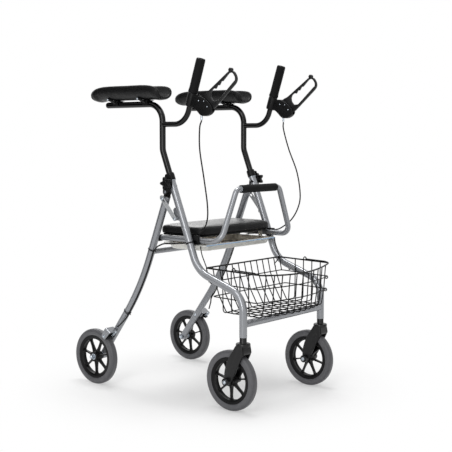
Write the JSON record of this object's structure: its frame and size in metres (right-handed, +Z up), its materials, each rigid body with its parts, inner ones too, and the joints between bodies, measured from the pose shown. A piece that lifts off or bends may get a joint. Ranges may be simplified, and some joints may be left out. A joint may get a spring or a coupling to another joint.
{
  "type": "four-wheel walking frame with forearm rests",
  "caption": "Folding rollator: bent tube frame, padded forearm gutters on telescoping arms, upright grips with loop brakes, fold-up seat, tray, wire basket and swivelling front wheels.",
  "frame": {"origin": "centre of the bounding box on the floor, under the seat", "axes": "+Z up, forward is -Y towards the basket and casters, +X to the user's left"},
  "size_m": [0.569, 0.8692, 1.1495],
  "materials": {
    "frame_paint": "silver-grey metallic powder coat",
    "arm_paint": "gloss black paint",
    "black_plastic": "moulded, fine texture",
    "tyre": "smooth grey solid tyre",
    "foam": "soft black grip",
    "vinyl": "black vinyl upholstery, satin",
    "zinc": "zinc plated",
    "clear_plastic": "clear moulded plastic",
    "basket_wire": "black coated wire"
  },
  "bodies": {
    "front_frame": {"front_tube_right": "frame_paint", "front_tube_left": "frame_paint", "top_bracket_right": "black_plastic", "top_bracket_left": "black_plastic", "seat_saddle_right": "black_plastic", "seat_saddle_left": "black_plastic", "brake_cable_upper_right": "black_plastic", "brake_cable_upper_left": "black_plastic", "brake_cable_lower_right": "black_plastic", "brake_cable_lower_left": "black_plastic", "front_cross_tube": "frame_paint"},
    "rear_frame": {"rear_leg_right": "frame_paint", "rear_leg_left": "frame_paint", "leg_knuckle_right": "black_plastic", "leg_knuckle_left": "black_plastic", "brake_bracket_right": "frame_paint", "brake_bracket_left": "frame_paint", "rear_axle_right": "zinc", "rear_axle_left": "zinc", "rear_cross_tube": "frame_paint"},
    "seat_bow": {"fold_bow": "frame_paint", "bow_grip": "foam", "seat_board": "black_plastic", "seat_cushion": "vinyl", "rail_end_right": "black_plastic", "rail_end_left": "black_plastic"},
    "tray": {"tray": "clear_plastic"},
    "basket": {"basket": "basket_wire"},
    "arm_right": {"arm_tube_right": "arm_paint", "forearm_pad_right": "vinyl", "pad_carrier_right": "black_plastic", "hand_grip_right": "foam", "brake_housing_right": "black_plastic"},
    "lever_right": {"brake_lever_right": "black_plastic"},
    "knob_right": {"clamp_knob_right": "black_plastic"},
    "stay_right": {"stay_link_right": "frame_paint"},
    "caster_right": {"caster_fork_right": "black_plastic", "front_axle_right": "zinc"},
    "front_wheel_right": {"front_tyre_right": "tyre", "front_rim_right": "black_plastic"},
    "rear_wheel_right": {"rear_tyre_right": "tyre", "rear_rim_right": "black_plastic"},
    "shoe_right": {"brake_shoe_right": "black_plastic"},
    "arm_left": {"arm_tube_left": "arm_paint", "forearm_pad_left": "vinyl", "pad_carrier_left": "black_plastic", "hand_grip_left": "foam", "brake_housing_left": "black_plastic"},
    "lever_left": {"brake_lever_left": "black_plastic"},
    "knob_left": {"clamp_knob_left": "black_plastic"},
    "stay_left": {"stay_link_left": "frame_paint"},
    "caster_left": {"caster_fork_left": "black_plastic", "front_axle_left": "zinc"},
    "front_wheel_left": {"front_tyre_left": "tyre", "front_rim_left": "black_plastic"},
    "rear_wheel_left": {"rear_tyre_left": "tyre", "rear_rim_left": "black_plastic"},
    "shoe_left": {"brake_shoe_left": "black_plastic"}
  },
  "joints": [
    {"name": "frame_fold", "type": "hinge", "parent": "front_frame", "child": "rear_frame", "pos_m": [0, 0.0079, 0.706], "axis": [-1, 0, 0], "range_deg": [0, 33], "deforming": ["brake_cable_lower_right", "brake_cable_lower_left"]},
    {"name": "seat_lift", "type": "hinge", "parent": "rear_frame", "child": "seat_bow", "pos_m": [0, 0.072, 0.5425], "axis": [-1, 0, 0], "range_deg": [0, 42]},
    {"name": "tray_slide", "type": "slide", "parent": "seat_bow", "child": "tray", "axis": [0, -1, 0], "range_m": [0, 0.08]},
    {"name": "basket_lift", "type": "slide", "parent": "front_frame", "child": "basket", "axis": [0, 0, 1], "range_m": [0, 0.05]},
    {"name": "height_right", "type": "slide", "parent": "front_frame", "child": "arm_right", "axis": [0, 0.3666, 0.9304], "range_m": [-0.07, 0.1], "deforming": ["brake_cable_upper_right"]},
    {"name": "knob_turn_right", "type": "hinge", "parent": "front_frame", "child": "knob_right", "pos_m": [-0.2396, -0.0117, 0.7355], "axis": [-1, 0, 0], "range_deg": [0, 360]},
    {"name": "lever_squeeze_right", "type": "hinge", "parent": "arm_right", "child": "lever_right", "pos_m": [-0.222, -0.16, 0.988], "axis": [-1, 0, 0], "range_deg": [0, 22], "stiffness_Nm_per_rad": 0.8},
    {"name": "shoe_press_right", "type": "slide", "parent": "rear_frame", "child": "shoe_right", "axis": [0, 0.5937, -0.8047], "range_m": [0, 0.0012]},
    {"name": "stay_turn_right", "type": "hinge", "parent": "front_frame", "child": "stay_right", "pos_m": [-0.2385, -0.0385, 0.6175], "axis": [1, 0, 0], "range_deg": [0, 7]},
    {"name": "caster_swivel_right", "type": "hinge", "parent": "front_frame", "child": "caster_right", "pos_m": [-0.22, -0.318, 0.23], "axis": [0, 0, 1], "continuous": true},
    {"name": "front_spin_right", "type": "hinge", "parent": "caster_right", "child": "front_wheel_right", "pos_m": [-0.22, -0.27, 0.1], "axis": [1, 0, 0], "continuous": true},
    {"name": "rear_spin_right", "type": "hinge", "parent": "rear_frame", "child": "rear_wheel_right", "pos_m": [-0.254, 0.335, 0.1], "axis": [1, 0, 0], "continuous": true},
    {"name": "height_left", "type": "slide", "parent": "front_frame", "child": "arm_left", "axis": [0, 0.3666, 0.9304], "range_m": [-0.07, 0.1], "deforming": ["brake_cable_upper_left"]},
    {"name": "knob_turn_left", "type": "hinge", "parent": "front_frame", "child": "knob_left", "pos_m": [0.2396, -0.0117, 0.7355], "axis": [1, 0, 0], "range_deg": [0, 360]},
    {"name": "lever_squeeze_left", "type": "hinge", "parent": "arm_left", "child": "lever_left", "pos_m": [0.222, -0.16, 0.988], "axis": [-1, 0, 0], "range_deg": [0, 22], "stiffness_Nm_per_rad": 0.8},
    {"name": "shoe_press_left", "type": "slide", "parent": "rear_frame", "child": "shoe_left", "axis": [0, 0.5937, -0.8047], "range_m": [0, 0.0012]},
    {"name": "stay_turn_left", "type": "hinge", "parent": "front_frame", "child": "stay_left", "pos_m": [0.2385, -0.0385, 0.6175], "axis": [1, 0, 0], "range_deg": [0, 7]},
    {"name": "caster_swivel_left", "type": "hinge", "parent": "front_frame", "child": "caster_left", "pos_m": [0.22, -0.318, 0.23], "axis": [0, 0, 1], "continuous": true},
    {"name": "front_spin_left", "type": "hinge", "parent": "caster_left", "child": "front_wheel_left", "pos_m": [0.22, -0.27, 0.1], "axis": [1, 0, 0], "continuous": true},
    {"name": "rear_spin_left", "type": "hinge", "parent": "rear_frame", "child": "rear_wheel_left", "pos_m": [0.254, 0.335, 0.1], "axis": [1, 0, 0], "continuous": true}
  ],
  "couplings": [
    {"joint": "seat_lift", "follows": "frame_fold", "ratio": 1.22},
    {"joint": "shoe_press_right", "follows": "lever_squeeze_right", "m_per_rad": 0.0031},
    {"joint": "stay_turn_right", "follows": "frame_fold", "ratio": 0.207},
    {"joint": "shoe_press_left", "follows": "lever_squeeze_left", "m_per_rad": 0.0031},
    {"joint": "stay_turn_left", "follows": "frame_fold", "ratio": 0.207}
  ]
}
